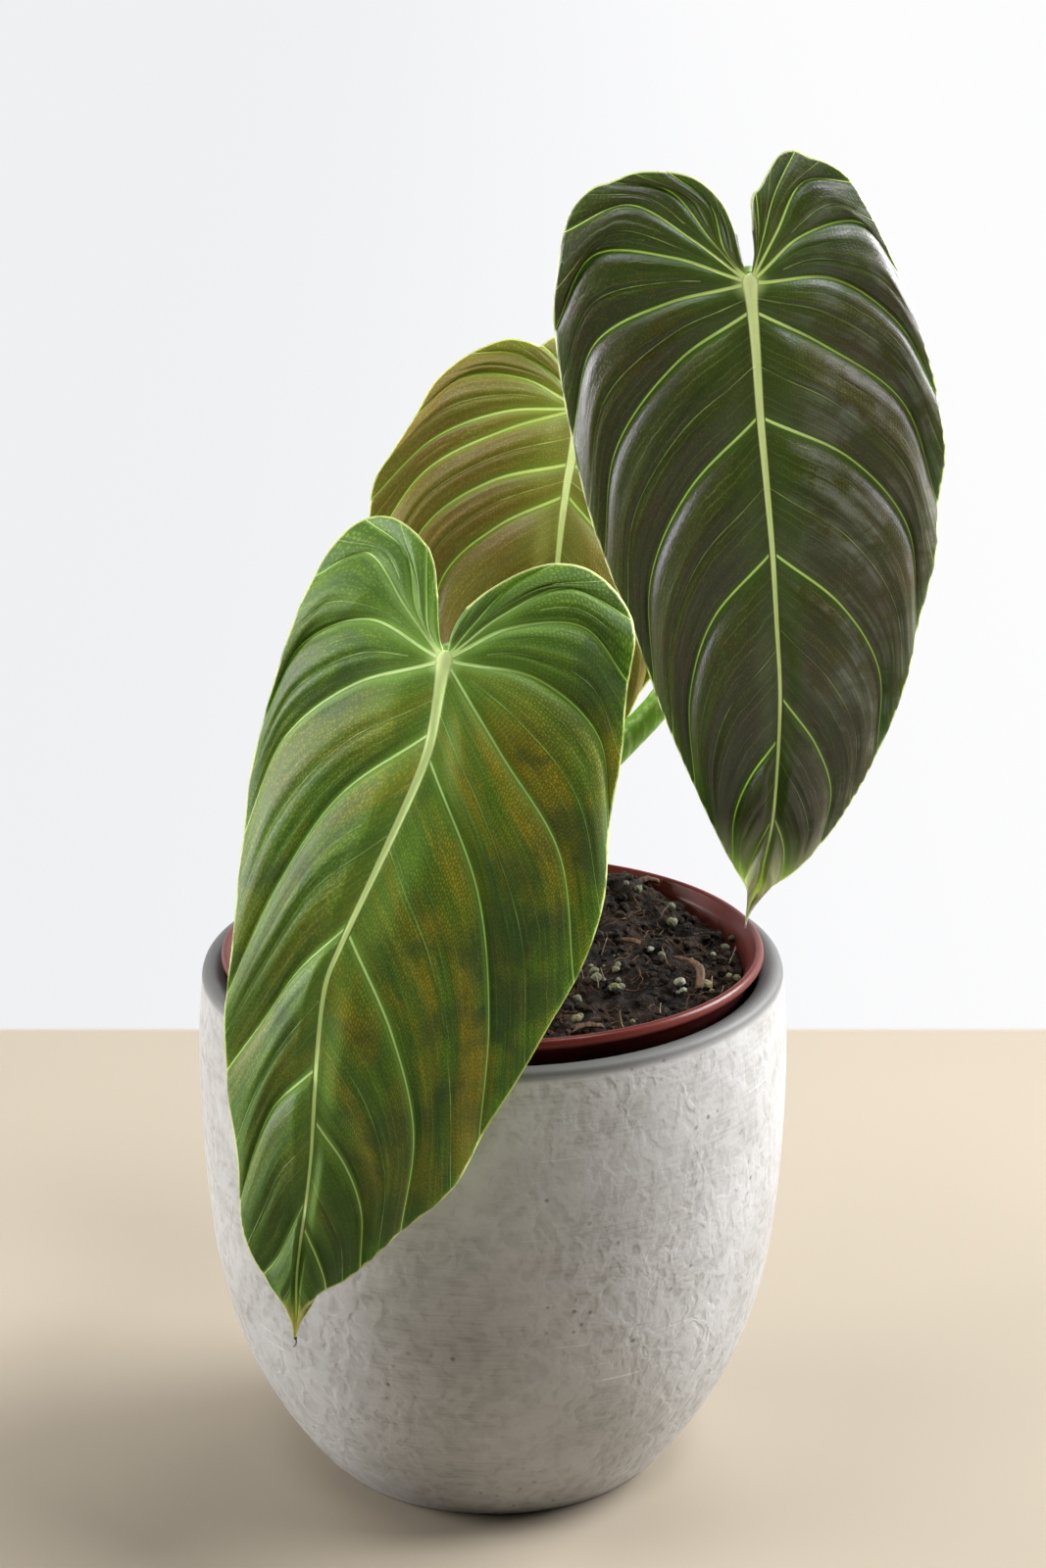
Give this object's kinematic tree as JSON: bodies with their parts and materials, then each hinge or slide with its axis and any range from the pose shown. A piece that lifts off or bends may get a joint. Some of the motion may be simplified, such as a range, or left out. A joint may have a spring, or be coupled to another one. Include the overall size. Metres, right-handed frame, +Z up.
{
  "type": "potted philodendron",
  "caption": "Aroid house plant with large hanging heart-shaped velvet leaves on curved stalks, in a thin nursery pot that stands in a round-bellied stoneware cover pot.",
  "frame": {"origin": "centre of the cover pot's base, on the face it stands on", "axes": "+Z up; -Y is the front, which the front leaf hangs over; +X is the right as seen from the front"},
  "size_m": [0.1764, 0.1617, 0.3236],
  "materials": {
    "stoneware": "matte, hammered relief",
    "nursery_plastic": "satin",
    "potting_mix": "rough",
    "stem": "satin",
    "stalk": "satin",
    "young_leaf": "velvet",
    "old_leaf": "velvet"
  },
  "bodies": {
    "root": {"cover_pot": "stoneware", "nursery_pot": "nursery_plastic", "potting_mix": "potting_mix", "stem": "stem", "front_leaf_stalk": "stalk", "right_leaf_stalk": "stalk", "back_leaf_stalk": "stalk", "front_leaf_blade": "young_leaf", "right_leaf_blade": "old_leaf", "back_leaf_blade": "old_leaf"}
  },
  "joints": []
}
